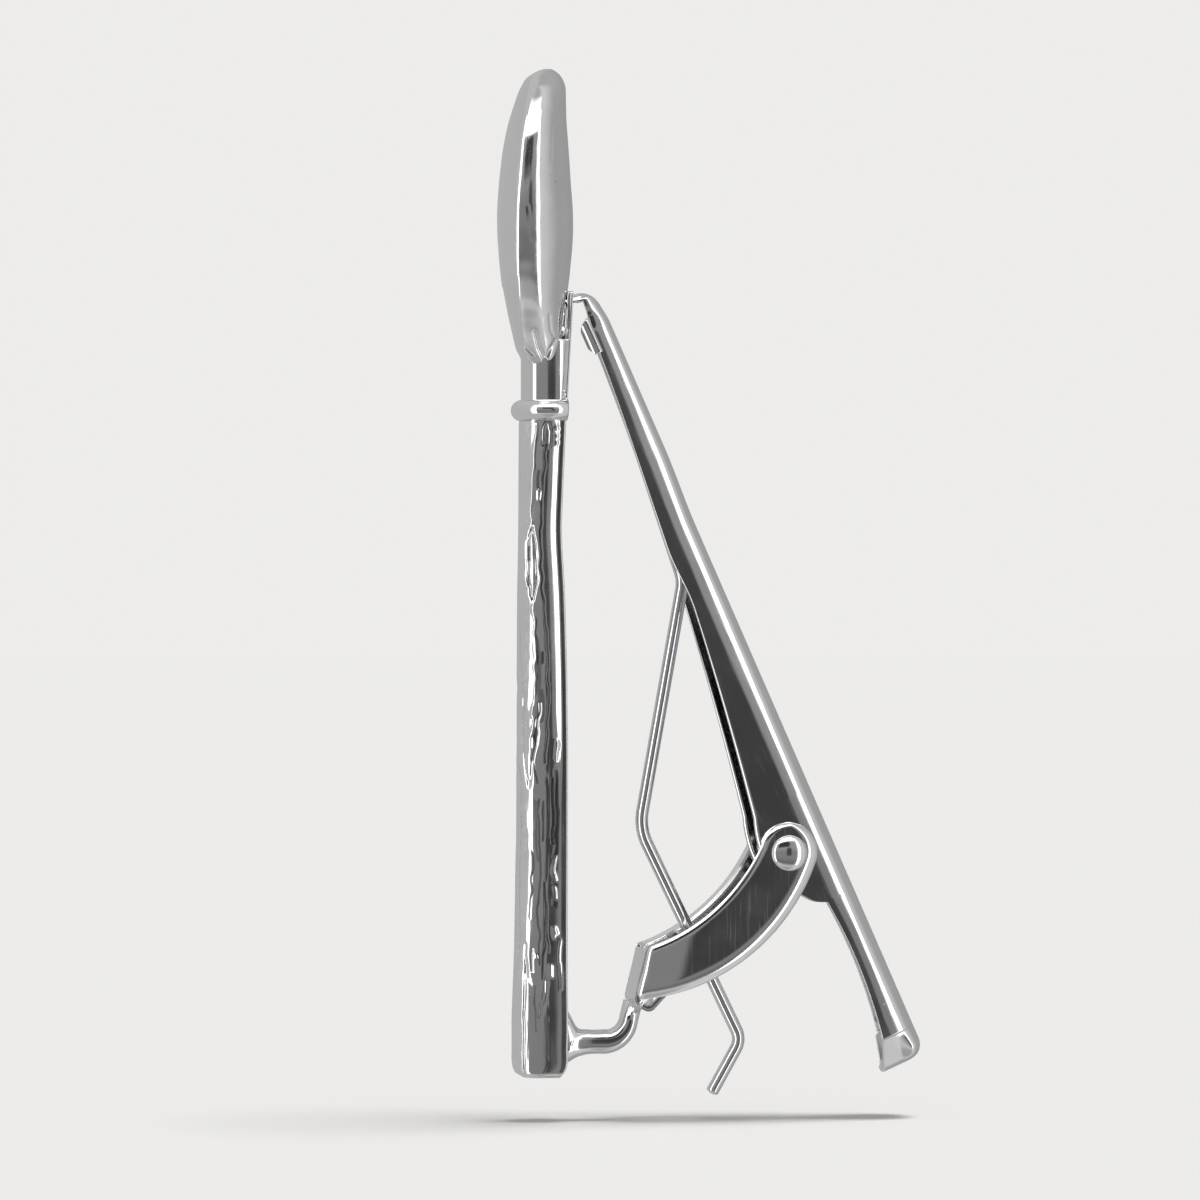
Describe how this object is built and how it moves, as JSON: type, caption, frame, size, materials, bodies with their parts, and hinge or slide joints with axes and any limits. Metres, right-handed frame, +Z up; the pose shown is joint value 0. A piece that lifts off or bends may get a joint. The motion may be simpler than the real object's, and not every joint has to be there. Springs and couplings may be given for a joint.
{
  "type": "tie clip",
  "caption": "Polished metal tie clip: a rounded ornament head on a textured bar, with a long sprung clasp lever hinged on a riveted bracket.",
  "frame": {"origin": "the grip point: where the jaw of the closed clasp presses on the rear face of the strip behind the head", "axes": "+Z runs up along the bar towards the head, +X points from the bar to the clasp lever, and +Y runs across the clip along the rivet"},
  "size_m": [0.0252, 0.009, 0.0611],
  "materials": {
    "plated_casting": "bright plating on a cast body, polished smooth on the head and rippled on the bar",
    "plated_sheet": "bright plating on pressed sheet, mirror polished",
    "spring_wire": "plated spring wire, bright"
  },
  "bodies": {
    "bar": {"head": "plated_casting", "collar": "plated_casting", "shaft": "plated_casting", "back_strip": "plated_sheet", "post": "plated_casting", "hinge_bracket": "plated_sheet", "hinge_rivet": "plated_sheet"},
    "clasp": {"clasp_lever": "plated_sheet", "spring_wire": "spring_wire"}
  },
  "joints": [
    {"name": "clasp_hinge", "type": "hinge", "parent": "bar", "child": "clasp", "pos_m": [0.01278, 0, -0.03275], "axis": [0, 1, 0], "range_deg": [0, 30], "stiffness_Nm_per_rad": 0.06, "springref_deg": -34.38, "deforming": ["spring_wire"]}
  ]
}
